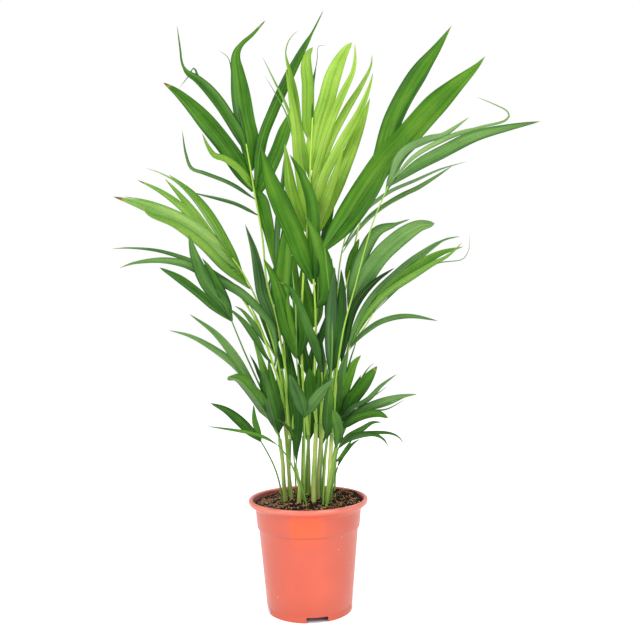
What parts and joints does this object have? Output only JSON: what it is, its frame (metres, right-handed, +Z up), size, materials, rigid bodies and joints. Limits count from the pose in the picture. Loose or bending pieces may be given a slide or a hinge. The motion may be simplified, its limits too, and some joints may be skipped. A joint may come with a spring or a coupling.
{
  "type": "potted palm",
  "caption": "Young areca palm with many thin canes and feathery arching fronds in a round plastic nursery pot.",
  "frame": {"origin": "middle of the whole plant's footprint, at the height of the surface that the pot stands on; it lies on the pot's axis", "axes": "+Z up along the pot's axis; +X to the right and -Y towards the viewer in the picture's view"},
  "size_m": [0.607, 0.3264, 0.8904],
  "materials": {
    "pot": "satin moulded plastic, terracotta orange",
    "potting_soil": "matt, crumbly",
    "cane": "smooth, satin",
    "leaf": "satin, ribbed along the leaflet"
  },
  "bodies": {
    "root": {"frond_01": "leaf", "frond_02": "leaf", "frond_03": "leaf", "frond_04": "leaf", "frond_05": "leaf", "frond_06": "leaf", "frond_07": "leaf", "frond_08": "leaf", "frond_09": "leaf", "frond_10": "leaf", "frond_11": "leaf", "frond_12": "leaf", "frond_13": "leaf", "frond_14": "leaf", "frond_15": "leaf", "frond_16": "leaf", "frond_17": "leaf", "frond_18": "leaf", "frond_19": "leaf", "frond_20": "leaf", "frond_21": "leaf", "frond_22": "leaf", "frond_23": "leaf", "frond_24": "leaf", "frond_25": "leaf", "frond_26": "leaf", "frond_27": "leaf", "frond_28": "leaf", "frond_29": "leaf", "frond_30": "leaf", "frond_31": "leaf", "frond_32": "leaf", "frond_33": "leaf", "frond_34": "leaf", "frond_35": "leaf", "pot": "pot", "potting_soil": "potting_soil", "stem_01": "cane", "stem_02": "cane", "stem_03": "cane", "stem_04": "cane", "stem_05": "cane", "stem_06": "cane", "stem_07": "cane", "stem_08": "cane", "stem_09": "cane", "stem_10": "cane", "stem_11": "cane", "stem_12": "cane", "stem_13": "cane"}
  },
  "joints": []
}
